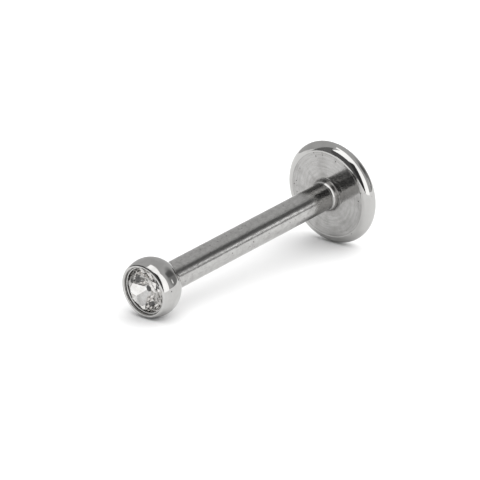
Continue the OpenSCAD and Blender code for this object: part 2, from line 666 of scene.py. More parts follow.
@dataclass(frozen=True)
class SteelFinish:
    """One way that steel is finished on the stud.

    Args:
        name: Name of the material.
        colour: Colour of the bare metal.
        shade: Colour of the metal in dull patches.
        roughness: Lowest and highest roughness.
        marks: Which way the tool's marks run.
        density: Marks to the millimetre.
        run: How fast a mark changes along itself.
        depth: Depth of the marks, in mm.
        hairline_depth: Depth of the hairline scratches, in mm.
        tone: How much the marks darken the metal.
        pit_share: Share of the cells that hold a pit.
        pit_from: Radius beyond which there are pits, in mm.
        pit_density: Cells to the millimetre.
        pit_depth: Depth of the pits, in mm.
        foot_dark: How far the metal is darkened round the foot.
        crease_shade: How far painted shade darkens the inner corners.
        film: Weight of the thin dull film of dust and skin oil.
        scratched: What a hairline scratch adds to the roughness.
        pitted: What a pit adds to it.
        rubbed: How much brighter a rubbed edge is than the bare metal.
        pit_colour: Colour of the pits.
        foot_dark_colour: Colour of the darkening round the foot.
        crease_shade_colour: Colour of the painted shade in the inner corners.
    """

    name: str
    colour: tuple
    shade: tuple
    roughness: tuple
    marks: Marks
    density: float
    run: float
    depth: float
    hairline_depth: float = 0.0001
    tone: float = 0.15
    pit_share: float = 0.05
    pit_from: float = 0.0
    pit_density: float = 6.0
    pit_depth: float = 0.001
    foot_dark: float = 0.0
    crease_shade: float = 0.85
    film: float = 0.0
    scratched: float = 0.08
    pitted: float = 0.25
    rubbed: float = 1.08
    pit_colour: tuple = (0.1, 0.098, 0.095)
    foot_dark_colour: tuple = (0.2, 0.193, 0.185)
    crease_shade_colour: tuple = (0.06, 0.057, 0.054)

    def build(self, effects: SharedEffects) -> bpy.types.Material:
        """Makes the material.

        Args:
            effects: The shared node groups.

        Returns:
            The material.
        """
        nodes = StudMaterial(self.name, effects)
        if self.marks is Marks.TURNED:
            marks = nodes.effect(effects.turning_marks, Rings=self.density, Arc=self.run)
        else:
            marks = nodes.effect(effects.drawn_lines, Across=self.density, Along=self.run)
        hair = nodes.effect(effects.hairlines)[0]
        pits = nodes.effect(effects.pits, Share=self.pit_share, From=self.pit_from,
                            Density=self.pit_density)[0]
        rough = nodes.span(marks["Patches"], NOISE_LOW, NOISE_HIGH, *self.roughness)
        rough = nodes.math("ADD", rough, nodes.math("MULTIPLY", hair, self.scratched))
        rough = nodes.math("ADD", rough, nodes.math("MULTIPLY", pits, self.pitted), clamp=True)
        normal = nodes.bump(marks["Height"], self.depth)
        normal = nodes.bump(hair, -self.hairline_depth, Normal=normal)
        normal = nodes.bump(pits, -self.pit_depth, Normal=normal)
        return nodes.shaded("ShaderNodeBsdfPrincipled", {
            "Base Color": self._colour(nodes, marks, pits), "Metallic": 1.0, "Roughness": rough,
            "Coat Weight": self.film, "Coat Roughness": 0.5, "Normal": normal})

    def _colour(self, nodes: StudMaterial, marks: bpy.types.NodeOutputs,
                pits: bpy.types.NodeSocket) -> bpy.types.NodeSocket:
        """Darkens the metal in patches, marks and pits, paints shade into the inner corners, darkens it
        round the foot, and brightens rubbed edges.

        Args:
            nodes: The material's nodes.
            marks: The tool's marks.
            pits: Mask of the pits.

        Returns:
            The colour.
        """
        patchy = nodes.span(marks["Patches"], 0.4, 0.7, 0.0, 0.55)
        lined = nodes.span(marks["Height"], 0.35, 0.65, self.tone, 0.0)
        colour = nodes.mix(nodes.math("ADD", patchy, lined, clamp=True), self.colour, self.shade)
        colour = nodes.mix(pits, colour, self.pit_colour)
        wear, crease_shade = (nodes.add("ShaderNodeAttribute", attribute_name=name).outputs["Fac"]
                       for name in ("wear", "crease_shade"))
        edges = nodes.effect(nodes.effects.rubbed_edges, Wear=wear)[0]
        colour = nodes.mix(edges, colour, tuple(self.rubbed * c for c in self.colour))
        # Painted shade in the inner corners, broken up by noise
        broken = nodes.span(nodes.noise(nodes.stud["Local"], 7.0, 3.0), 0.3, 0.6, 0.55, 1.0)
        shaded_creases = nodes.math("MULTIPLY", nodes.span(crease_shade, 0.2, 0.8, 0.0, self.crease_shade), broken)
        colour = nodes.mix(shaded_creases, colour, self.crease_shade_colour)
        if self.foot_dark == 0:
            return colour
        # Darkens the metal round the foot, where the bar meets the disc
        foot_dark = nodes.effect(nodes.effects.foot_darkening)[0]
        return nodes.mix(nodes.math("MULTIPLY", foot_dark, self.foot_dark), colour, self.foot_dark_colour)


STEEL = (0.56, 0.555, 0.545)
STEEL_SHADE = (0.44, 0.435, 0.425)
TURNED_FACE = SteelFinish("turned_disc_face", (0.51, 0.505, 0.497), (0.35, 0.345, 0.336), (0.07, 0.2),
                          Marks.TURNED, 11.0, 2.2, 0.0012, tone=0.55, pit_share=0.9, pit_from=1.62,
                          pit_density=5.6, foot_dark=0.3, film=0.7)
POLISHED_RIM = SteelFinish("polished_rim", STEEL, STEEL_SHADE, (0.03, 0.09), Marks.TURNED, 30.0, 1.5,
                           0.00012)
SATIN_BAR = SteelFinish("satin_bar", (0.57, 0.565, 0.555), STEEL_SHADE, (0.07, 0.16), Marks.DRAWN, 13.0,
                        5.0, 0.0036, tone=0.6, pit_share=0.3, pit_density=7.0, pit_depth=0.0008, foot_dark=0.4)
WELDED_FOOT = SteelFinish("welded_foot", STEEL, STEEL_SHADE, (0.06, 0.16), Marks.TURNED, 5.0, 3.0, 0.012,
                          tone=0.2, foot_dark=0.15, film=0.4)
CUT_THREAD = SteelFinish("cut_thread", (0.5, 0.495, 0.485), STEEL_SHADE, (0.16, 0.34), Marks.TURNED, 40.0,
                         3.0, 0.0012, tone=0.4)
POLISHED_CUP = SteelFinish("polished_cup", STEEL, STEEL_SHADE, (0.03, 0.08), Marks.TURNED, 26.0, 1.6,
                           0.00012, crease_shade=0.35)
CUP_SEAT = SteelFinish("turned_pocket", STEEL, STEEL_SHADE, (0.08, 0.2), Marks.TURNED, 34.0, 1.4, 0.0006)


@dataclass(frozen=True)
class CrystalFinish:
    """Clear cut crystal with faint rubbed facets.

    Args:
        name: Name of the material.
        colour: Tint of the crystal.
        ior: Index of refraction.
        scratch: Roughness of the hairline scratches.
    """

    name: str = "clear_crystal"
    colour: tuple = (0.985, 0.985, 0.98)
    ior: float = 1.56
    scratch: float = 0.06

    def build(self, effects: SharedEffects) -> bpy.types.Material:
        """Makes the material.

        Args:
            effects: The shared node groups.

        Returns:
            The material.
        """
        nodes = StudMaterial(self.name, effects)
        hair = nodes.effect(effects.hairlines, Size=5.0, Width=0.008)[0]
        return nodes.shaded("ShaderNodeBsdfPrincipled", {
            "Base Color": (*self.colour, 1), "Metallic": 0.0, "IOR": self.ior, "Transmission Weight": 1.0,
            "Roughness": nodes.span(hair, 0.0, 1.0, 0.0, self.scratch)})


@dataclass(frozen=True)
class FoilFinish:
    """Silvered foil on the back of the stone, slightly warm and uneven.

    Args:
        name: Name of the material.
        colour: Colour of the clean foil.
        tint: Colour of its warmer patches.
        roughness: Roughness of the clean foil and of its patches.
    """

    name: str = "silver_foil"
    colour: tuple = (0.93, 0.925, 0.92)
    tint: tuple = (0.82, 0.805, 0.79)
    roughness: tuple = (0.01, 0.05)

    def build(self, effects: SharedEffects) -> bpy.types.Material:
        """Makes the material.

        Args:
            effects: The shared node groups.

        Returns:
            The material.
        """
        nodes = StudMaterial(self.name, effects)
        patch = nodes.span(nodes.noise(nodes.stud["Local"], 3.0), 0.4, 0.65, 0.0, 1.0)
        return nodes.shaded("ShaderNodeBsdfPrincipled", {
            "Base Color": nodes.mix(patch, self.colour, self.tint), "Metallic": 1.0,
            "Roughness": nodes.span(patch, 0.0, 1.0, *self.roughness)})


# Painted shade: a near-black mirror on the culet stands in for the dark seen through the stone's point
DARK_CULET = FoilFinish("dark_culet", (0.05, 0.049, 0.048), (0.03, 0.029, 0.028))


@dataclass
class Post:
    """The disc, its welded foot and the bar, with the threaded bore in the bar's free end.

    The flat face lies in a shallow recess behind a short ramp. The weld is a fillet on the disc and a
    rounded shoulder, which ends in a small step on the bar.
    """

    skin: float = 0.005
    disc_radius: float = 2.25
    rim_radius: float = 0.36
    face_recess: float = 0.008
    ramp_width: float = 0.02
    face_margins: tuple = (0.05, 0.02)
    face_rings: int = 24
    fillet: float = 0.05
    foot_radius: float = 0.67
    shoulder: float = 0.15
    shoulder_station: float = 0.2
    shoulder_end: float = 56.0
    toe_rounding: float = 0.006
    bar_radius: float = 0.6
    bar_length: float = 10.0
    bar_margins: tuple = (0.2, 0.1)
    bar_rings: int = 40
    bar_chamfer: float = 0.03
    chamfer_rounding: float = 0.01
    edge_rounding: float = 0.008
    bore_radius: float = 0.43
    bore_chamfer: float = 0.02
    bore_rounding: float = 0.004
    bore_end: float = 7.35
    thread_start: float = 0.06
    thread_pitch: float = 0.225
    thread_depth: float = 0.035
    rows_per_turn: int = 8

    def outline(self) -> Outline:
        """Draws the half section, from the middle of the disc's back to the tip of the bore.

        Returns:
            The outline.
        """
        line = Outline()
        self._draw_disc(line)
        self._draw_foot_and_bar(line)
        self._draw_bore(line)
        return line

    def _draw_disc(self, line: Outline) -> None:
        """Draws the disc's back, its full round rim, the ramp and the flat face.

        Args:
            line: The outline so far.
        """
        centre = self.disc_radius - self.rim_radius
        back = self.skin - 2 * self.rim_radius
        face = -self.skin - self.face_recess
        face_end = self.foot_radius + self.fillet + self.face_margins[1]
        line.to(0, back, PostZone.FACE)
        line.to(centre, back, PostZone.FACE)
        line.arc((centre, -self.rim_radius), self.rim_radius - self.skin, -90, 90, PostZone.RIM)
        line.to(centre - self.ramp_width, face, PostZone.RIM, self.edge_rounding)
        line.through(np.linspace(centre - self.face_margins[0], face_end, self.face_rings), face,
                     PostZone.FACE)

    def _draw_foot_and_bar(self, line: Outline) -> None:
        """Draws the weld, the bar's side and its chamfered end.

        Args:
            line: The outline so far.
        """
        side = self.bar_radius - self.skin
        line.arc((self.foot_radius + self.fillet, self.fillet - self.skin), self.fillet, -90, -180,
                 PostZone.FOOT)
        line.arc((self.foot_radius - self.shoulder, self.shoulder_station), self.shoulder, 0,
                 self.shoulder_end, PostZone.FOOT, step=4)
        line.to(side, self.shoulder_station + self.shoulder, PostZone.FOOT, self.toe_rounding)
        line.through(side, np.linspace(self.shoulder_station + self.bar_margins[0],
                                       self.bar_length - self.bar_margins[1], self.bar_rings), PostZone.BAR)
        line.to(side, self.bar_length - self.bar_chamfer, PostZone.BAR, self.chamfer_rounding)
        line.to(self.bar_radius - self.bar_chamfer, self.bar_length, PostZone.BAR, self.edge_rounding)

    def _draw_bore(self, line: Outline) -> None:
        """Draws the bore, whose ridges are a triangle wave of the station, and its pointed end.

        Args:
            line: The outline so far.
        """
        line.to(self.bore_radius + self.bore_chamfer, self.bar_length, PostZone.BAR, self.edge_rounding)
        line.to(self.bore_radius, self.bar_length - self.bore_chamfer, PostZone.BORE, self.bore_rounding)
        turns = (self.bar_length - self.bar_margins[1] - self.bore_end) / self.thread_pitch
        turn = np.arange(0, turns, 1 / self.rows_per_turn)
        groove = np.abs(2 * (turn % 1.0) - 1)
        line.through(self.bore_radius + self.thread_depth * groove,
                     self.bar_length - self.thread_start - turn * self.thread_pitch, PostZone.BORE)
        line.to(self.bore_radius, self.bore_end, PostZone.BORE)
        line.to(0, self.bore_end - self.bore_radius / 2, PostZone.BORE)

    def build(self, axis: StudAxis, effects: SharedEffects) -> bpy.types.Object:
        """Makes the piece.

        Args:
            axis: The stud's axis.
            effects: The shared node groups.

        Returns:
            The piece, in the place of its solid.
        """
        finishes = {PostZone.FACE: TURNED_FACE, PostZone.RIM: POLISHED_RIM, PostZone.FOOT: WELDED_FOOT,
                    PostZone.BAR: SATIN_BAR, PostZone.BORE: CUT_THREAD}
        materials = [finishes[zone].build(effects) for zone in PostZone]
        piece = turned_piece("turned_post", axis, self.outline(), materials)
        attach(piece, Body.POST.value)
        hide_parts("disc_and_bar")
        return piece


@dataclass
class ScrewStem:
    """The threaded stem that holds the jewelled end in the bar."""

    crest: float = 0.405
    root: float = 0.3
    neck: float = 0.34
    pitch: float = 0.225
    tip: float = 7.605
    head: float = 10.295
    tip_chamfer: float = 0.09
    tip_radius: float = 0.2
    flat_crest: float = 1.25
    thread_end: float = 9.75
    run_out: float = 0.2
    rows_per_turn: int = 14
    segments: int = 96
    sharp: float = 40.0

    def build(self, axis: StudAxis, effects: SharedEffects) -> bpy.types.Object:
        """Makes the thread as one surface.

        r(angle, z) = root + (crest - root) ridge(z / pitch - angle / 2 pi) fade(z), where ridge is a
        triangle wave with a short flat top, and fade takes it down to the neck and to the tip.

        Args:
            axis: The stud's axis.
            effects: The shared node groups.

        Returns:
            The piece, in the place of its solid.
        """
        rows = int((self.head - self.tip) / self.pitch * self.rows_per_turn)
        z = np.linspace(self.tip, self.head, rows)[:, None]
        angle = (np.arange(self.segments) * 2 * np.pi / self.segments)[None, :]
        phase = (z / self.pitch - angle / (2 * np.pi)) % 1.0
        ridge = np.clip(self.flat_crest * (1 - np.abs(2 * phase - 1)), 0, 1)
        fade = np.clip((self.thread_end + self.run_out - z) / self.run_out, 0, 1)
        lead = np.maximum(self.crest - self.tip_chamfer + (z - self.tip), self.tip_radius)
        radius = np.minimum(self.root + (self.crest - self.root) * ridge * fade, lead)
        radius = np.where(z > self.thread_end + self.run_out, self.neck, radius)
        grid = axis.place(radius, angle, z).reshape(-1, 3)
        ends = axis.place(np.zeros(2), np.zeros(2), np.array([self.tip, self.head]))
        number = np.arange(rows * self.segments).reshape(rows, self.segments)
        quads, right = rows_of_quads(number)
        first, last = len(grid), len(grid) + 1
        bottom = np.stack([np.full(self.segments, first), right[0], number[0]], -1)
        top = np.stack([np.full(self.segments, last), number[-1], right[-1]], -1)
        faces = quads.reshape(-1, 4).tolist() + bottom.tolist() + top.tolist()
        piece = new_piece("threaded_stem", np.vstack([grid, ends]), faces, [CUT_THREAD.build(effects)],
                          np.zeros(len(faces)), self.sharp)
        set_values(piece, "wear", np.append((ridge * fade).ravel() ** 3, [0, 0]))
        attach(piece, Body.SCREW.value)
        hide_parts("screw_stem")
        return piece


@dataclass
class JewelCup:
    """The domed cup with its rolled lip, the pocket for the stone and the hole for the stem.

    Behind the belly the cup is one arc through the edge of the seat. In front of it another arc runs
    on into the rolled lip, and a thin bead folds over the stone inside the lip.
    """

    skin: float = 0.004
    seat: float = 10.02
    seat_radius: float = 0.62
    hole_radius: float = 0.43
    hole_end: float = 10.32
    belly: float = 10.98
    belly_radius: float = 1.25
    front: float = 11.53
    taper: float = 0.1
    lip_radius: float = 0.07
    lip_ends: tuple = (6.0, 226.0)
    bead_centre: tuple = (0.984, 11.37)
    bead_radius: float = 0.036
    bead_ends: tuple = (24.0, 196.0)
    bead_groove: tuple = (0.012, 0.018)
    pocket_radius: float = 0.97
    pocket_chamfer: tuple = (0.004, 0.02)
    girdle: float = 11.29
    pocket_floor: float = 11.25
    pocket_depth: float = 0.72
    corner_rounding: float = 0.01

    def dome(self) -> tuple:
        """Works out the arc behind the belly.

        Level at the belly and through the seat's edge: r = (back^2 + in^2) / (2 in).

        Returns:
            Its radius in mm, and the angle from the seat's edge to the belly, in degrees.
        """
        back, inwards = self.belly - self.seat, self.belly_radius - self.seat_radius
        radius = (back ** 2 + inwards ** 2) / (2 * inwards)
        return radius, math.degrees(math.asin(back / radius))

    def barrel(self) -> tuple:
        """Works out the arc in front of the belly.

        Level at the belly and tangent to the lip: r = (reach^2 + taper^2) / (2 taper) + lip radius.

        Returns:
            Its radius in mm, and the angle from the belly to the lip, in degrees.
        """
        reach = self.front - self.lip_radius - self.belly
        radius = (reach ** 2 + self.taper ** 2) / (2 * self.taper) + self.lip_radius
        return radius, math.degrees(math.asin(reach / (radius - self.lip_radius)))

    def outline(self) -> Outline:
        """Draws the half section, from the floor of the stem's hole to the floor of the pocket.

        Returns:
            The outline.
        """
        outside, pocket = CupZone
        rounding = self.corner_rounding
        dome_radius, dome_end = self.dome()
        barrel_radius, barrel_end = self.barrel()
        lip_centre = (self.belly_radius - self.taper - self.lip_radius, self.front - self.lip_radius)
        groove = np.add(self.bead_centre, self.bead_groove) + (self.bead_radius, 0)
        line = Outline()
        line.to(0, self.hole_end, pocket)
        line.to(self.hole_radius, self.hole_end, pocket, rounding)
        line.to(self.hole_radius, self.seat + self.skin, pocket, rounding)
        line.arc((self.belly_radius - dome_radius, self.belly), dome_radius - self.skin, -dome_end, 0,
                 outside)
        line.arc((self.belly_radius - barrel_radius, self.belly), barrel_radius - self.skin, 1, barrel_end,
                 outside, step=1.5)
        line.arc(lip_centre, self.lip_radius - self.skin, barrel_end + self.lip_ends[0], self.lip_ends[1],
                 outside, step=6)
        line.to(*groove, outside)
        line.arc(self.bead_centre, self.bead_radius, *self.bead_ends, outside, step=8)
        line.to(self.pocket_radius - self.pocket_chamfer[0], self.girdle + self.pocket_chamfer[1], pocket)
        line.to(self.pocket_radius, self.girdle, pocket, rounding)
        line.to(self.pocket_radius, self.pocket_floor, pocket, rounding)
        line.to(0, self.pocket_floor - self.pocket_depth, pocket)
        return line

    def build(self, axis: StudAxis, effects: SharedEffects) -> bpy.types.Object:
        """Makes the piece.

        Args:
            axis: The stud's axis.
            effects: The shared node groups.

        Returns:
            The piece, in the place of its solid.
        """
        finishes = {CupZone.OUTSIDE: POLISHED_CUP, CupZone.POCKET: CUP_SEAT}
        materials = [finishes[zone].build(effects) for zone in CupZone]
        piece = turned_piece("domed_cup", axis, self.outline(), materials)
        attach(piece, Body.JEWELLED_END.value)
        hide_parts("jewel_cup")
        return piece


class Ring(NamedTuple):
    """A level ring of a stone's corners: its radius, station, number of corners and turn in steps."""

    radius: float
    station: float
    corners: int
    turn: float

    def numbers(self, first: int, corner: np.ndarray) -> np.ndarray:
        """Numbers of some corners, counted on round the ring from its first corner's number."""
        return first + corner % self.corners


@dataclass
class Brilliant:
    """The round brilliant: table, stars, kites, girdle facets and a foiled pavilion."""

    mains: int = 8
    turn: float = 13.6
    table_radius: float = 0.72
    star_radius: float = 0.852
    stone_radius: float = 0.95
    lower_radius: float = 0.72
    culet_radius: float = 0.14
    table: float = 11.51
    girdle: float = 11.29
    pavilion: float = 11.25
    depth: float = 0.54

    def rings(self) -> tuple:
        """Works out the six rings of corners, from the table to the culet.

        A kite or a main is flat when its corners lie on the lines from the girdle's corners to the
        table's corners, or to the point where the mains would meet.

        Returns:
            The table, star, upper girdle, lower girdle, main and culet rings.
        """
        n = self.mains
        half = math.cos(math.pi / n)
        slope = (self.table - self.girdle) / (self.stone_radius - self.table_radius)
        star = self.girdle + slope * (self.stone_radius - self.star_radius * half)
        point = self.pavilion - self.depth
        rise = self.depth * half / self.stone_radius
        return (Ring(self.table_radius, self.table, n, 0.0), Ring(self.star_radius, star, n, 0.5),
                Ring(self.stone_radius, self.girdle, 2 * n, 0.0),
                Ring(self.stone_radius, self.pavilion, 2 * n, 0.0),
                Ring(self.lower_radius, point + rise * self.lower_radius, n, 0.5),
                Ring(self.culet_radius, point + rise * self.culet_radius, n, 0.5))

    def facets(self) -> list:
        """Joins the corners of the rings into facets.

        Returns:
            Corner numbers of each kind of facet, and its zone.
        """
        rings = self.rings()
        first = np.cumsum([0] + [ring.corners for ring in rings])
        table, star, girdle, lower, main, culet = (partial(ring.numbers, start)
                                                   for ring, start in zip(rings, first))
        i, j = np.arange(self.mains), np.arange(2 * self.mains)
        clear, foil = StoneZone.CLEAR, StoneZone.FOIL
        kinds = [
            ((table(i[None, :]),), clear),
            ((table(i), star(i), table(i + 1)), clear),
            ((table(i), star(i - 1), girdle(2 * i), star(i)), clear),
            ((star(i), girdle(2 * i), girdle(2 * i + 1)), clear),
            ((star(i), girdle(2 * i + 1), girdle(2 * i + 2)), clear),
            ((girdle(j), lower(j), lower(j + 1), girdle(j + 1)), foil),
            ((main(i), lower(2 * i + 1), lower(2 * i)), foil),
            ((main(i), lower(2 * i + 2), lower(2 * i + 1)), foil),
            ((culet(i - 1), culet(i), main(i), lower(2 * i), main(i - 1)), foil),
            ((culet(i[None, ::-1]),), StoneZone.CULET),
        ]
        return [(corners[0] if len(corners) == 1 else np.stack(corners, -1), zone)
                for corners, zone in kinds]

    def build(self, axis: StudAxis, effects: SharedEffects) -> bpy.types.Object:
        """Makes the stone from its rings of corners.

        Args:
            axis: The stud's axis.
            effects: The shared node groups.

        Returns:
            The piece, in the place of its solid.
        """
        rings = self.rings()
        radius = np.concatenate([np.full(ring.corners, ring.radius) for ring in rings])
        station = np.concatenate([np.full(ring.corners, ring.station) for ring in rings])
        angle = np.concatenate([2 * np.pi * (np.arange(ring.corners) + ring.turn) / ring.corners
                                for ring in rings])
        points = axis.place(radius, angle + math.radians(self.turn), station)
        facets = self.facets()
        faces = sum((part.tolist() for part, _ in facets), [])
        zones = np.concatenate([np.full(len(part), zone) for part, zone in facets])
        finishes = {StoneZone.CLEAR: CrystalFinish(), StoneZone.FOIL: FoilFinish(),
                    StoneZone.CULET: DARK_CULET}
        materials = [finishes[zone].build(effects) for zone in StoneZone]
        piece = new_piece("brilliant", points, faces, materials, zones, 0.0)
        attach(piece, Body.JEWELLED_END.value)
        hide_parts("stone")
        return piece


def sky_direction(azimuth: float, elevation: float) -> Vector:
    """Unit vector of a direction.

    Args:
        azimuth: Degrees from -Y towards +X.
        elevation: Degrees above the floor.

    Returns:
        (sin az cos el, -cos az cos el, sin el).
    """
    az, el = math.radians(azimuth), math.radians(elevation)
    return Vector((math.sin(az) * math.cos(el), -math.cos(az) * math.cos(el), math.sin(el)))


@dataclass(frozen=True)
class Card:
    """A flat card of the studio, bright or dark, that only reflections and the stone show.

    Args:
        name: Name of the card.
        corners: Its four corners in turn, in mm.
        radiance: How bright it is, as a share of white.
        seen_by: Which parts of the stud show it.
        fade: Share of the card over which it fades at its start, end, lower and upper edge.
        one_sided: Whether it shows only from its front, where the stud rests.
    """

    name: str
    corners: tuple
    radiance: float
    seen_by: SeenBy = SeenBy.ALL
    fade: tuple = (0.0, 0.0, 0.0, 0.0)
    one_sided: bool = False

    @classmethod
    def in_sky(cls, name: str, directions: tuple, radiance: float, reach: float = 400.0,
               **options: object) -> "Card":
        """Makes a far card from the directions of its corners.

        Args:
            name: Name of the card.
            directions: Azimuth and elevation of its four corners, in degrees.
            radiance: How bright it is.
            reach: Distance of its corners, in mm.
            options: Other fields of the card.

        Returns:
            The card.
        """
        return cls(name, tuple(tuple(reach * sky_direction(*d)) for d in directions), radiance, **options)

    @classmethod
    def standing(cls, name: str, start: tuple, end: tuple, radiance: float, **options: object) -> "Card":
        """Makes a card that stands near the stud.

        Args:
            name: Name of the card.
            start: x, y, lower edge and upper edge at one end, in mm.
            end: The same at the other end.
            radiance: How bright it is.
            options: Other fields of the card.

        Returns:
            The card.
        """
        (x0, y0, low0, high0), (x1, y1, low1, high1) = start, end
        corners = ((x0, y0, low0), (x1, y1, low1), (x1, y1, high1), (x0, y0, high0))
        return cls(name, corners, radiance, **options)

    def build(self) -> bpy.types.Object:
        """Makes the card.

        Returns:
            The card's object.
        """
        mesh = bpy.data.meshes.new(self.name)
        mesh.from_pydata([tuple(MM * v for v in corner) for corner in self.corners], [], [(0, 1, 2, 3)])
        mesh.uv_layers.new(name="card").data.foreach_set("uv", (0, 0, 1, 0, 1, 1, 0, 1))
        nodes = BlankMaterial(self.name)
        glow = nodes.add("ShaderNodeEmission", {"Color": (1, 1, 1, 1), "Strength": self.radiance})
        clear = nodes.add("ShaderNodeBsdfTransparent")
        mesh.materials.append(nodes.shaded("ShaderNodeMixShader", {
            0: self._mask(nodes), 1: clear.outputs[0], 2: glow.outputs[0]}))
        card = bpy.data.objects.new(self.name, mesh)
        card.visible_camera = card.visible_diffuse = card.visible_shadow = False
        card.visible_glossy = self.seen_by is not SeenBy.STONE
        card.visible_transmission = self.seen_by is not SeenBy.METAL
        bpy.context.scene.collection.objects.link(card)
        return card

    def _mask(self, nodes: Nodes) -> bpy.types.NodeSocket:
        """Multiplies one ramp for each edge that fades, and hides the back of a one-sided card.

        Args:
            nodes: The card's nodes.

        Returns:
            How much of the card shows, from 0 to 1.
        """
        on_card = nodes.add("ShaderNodeUVMap", uv_map="card").outputs[0]
        place = nodes.add("ShaderNodeSeparateXYZ", {0: on_card})
        hidden = nodes.add("ShaderNodeNewGeometry").outputs["Backfacing"] if self.one_sided else 0.0
        mask = nodes.math("SUBTRACT", 1.0, hidden)
        for side, width in enumerate(self.fade):
            if width > 0:
                at_start = side % 2 == 0
                ends = (0.0, width, 0.0, 1.0) if at_start else (1.0 - width, 1.0, 1.0, 0.0)
                ramp = nodes.span(place.outputs[side // 2], *ends, smooth=True)
                mask = nodes.math("MULTIPLY", mask, ramp)
        return mask


@dataclass(frozen=True)
class SoftBox:
    """A soft light that lights the floor and doesn't show in the metal.

    Args:
        name: Name of the light.
        azimuth: Direction of its middle, in degrees from -Y towards +X.
        elevation: Degrees above the floor.
        spread: Width and height as seen from the stud, in degrees.
        radiance: How bright it is, as a share of white.
        reach: Distance from the stud, in metres.
    """

    name: str
    azimuth: float
    elevation: float
    spread: float
    radiance: float
    reach: float = 0.6

    def build(self, target: Vector) -> bpy.types.Object:
        """Makes the light, facing the target.

        Args:
            target: Point that it faces, in metres.

        Returns:
            The light's object.
        """
        light = bpy.data.lights.new(self.name, "AREA")
        light.shape = "SQUARE"
        light.size = 2 * self.reach * math.tan(math.radians(self.spread) / 2)
        light.energy = self.radiance * math.pi * light.size ** 2
        box = bpy.data.objects.new(self.name, light)
        out = sky_direction(self.azimuth, self.elevation)
        box.matrix_world = (Matrix.Translation(target + self.reach * out)
                            @ out.to_track_quat("Z", "Y").to_matrix().to_4x4())
        box.visible_camera = box.visible_glossy = box.visible_transmission = False
        bpy.context.scene.collection.objects.link(box)
        return box


# Brightness of the white cards, as a share of white
WHITE = 1.75
# Height of the upper edges of the cards and of the roof, in mm
CARD_TOP = 60
# x and y of the corner where the front card ends and the sweep to the left of the stud begins
SWEEP_CORNER = (-6.8, -13.4)
# Height of the sweep's lower edge at that corner
HEADER_EDGE = 24
# x, y and lower edge, in mm, of the turn and the end of the sweep that the metal shows
METAL_TURN = (-7.3, -3.6, 14.3)
METAL_END = (-7.0, 6.7, 14)
# The same of the sweep that the stone shows
STONE_TURN = (-12.6, -4.8, 19)
STONE_END = (-25, 10.5, 11)
# x, y, lower and upper edge where the last dark card ends
DARK_END = (-7.0, 13.3, 0, 38)
# x and y of the roofs' right, front, back left and back right corners
ROOF_CORNERS = ((8.9, -5), (6, -32.5), (-6, 18), (10, 17))


def white_sweep(name: str, turn: tuple, end: tuple, seen_by: SeenBy) -> tuple:
    """Makes the four white cards that stand to the left of the stud and roof it over.

    Args:
        name: First word of the cards' names.
        turn: x, y and lower edge where the header meets the wing, in mm.
        end: The same where the wing ends.
        seen_by: Which parts of the stud show the cards.

    Returns:
        The header, the wing, the roof and the back roof.
    """
    start = (*SWEEP_CORNER, HEADER_EDGE, CARD_TOP)
    left, right, front, back_left, back_right = ((x, y, CARD_TOP) for x, y in (end[:2], *ROOF_CORNERS))
    return (
        Card.standing(f"{name}_header", start, (*turn, CARD_TOP), WHITE, seen_by=seen_by),
        Card.standing(f"{name}_wing", (*turn, CARD_TOP), (*end, CARD_TOP), WHITE, seen_by=seen_by),
        Card(f"{name}_roof", (left, right, front, (*SWEEP_CORNER, CARD_TOP)), WHITE, seen_by),
        Card(f"{name}_back_roof", (left, back_left, back_right, right), WHITE, seen_by),
    )


def dark_cards() -> tuple:
    """Makes the three dark cards below the sweep, which the jewelled end passes as it unscrews.

    Returns:
        The cards, in turn from the front to the back.
    """
    turn, end = METAL_TURN, METAL_END
    rows = (("dark_card", (*SWEEP_CORNER, 0, HEADER_EDGE), (*turn[:2], 2, turn[2]), 0.05),
            ("dark_front", (*turn[:2], 2, turn[2]), (*end[:2], 2, end[2]), 0.12),
            ("dark_wing", (*end[:2], 1, end[2]), DARK_END, 0.2))
    return tuple(Card.standing(*row, seen_by=SeenBy.METAL, one_sided=True) for row in rows)


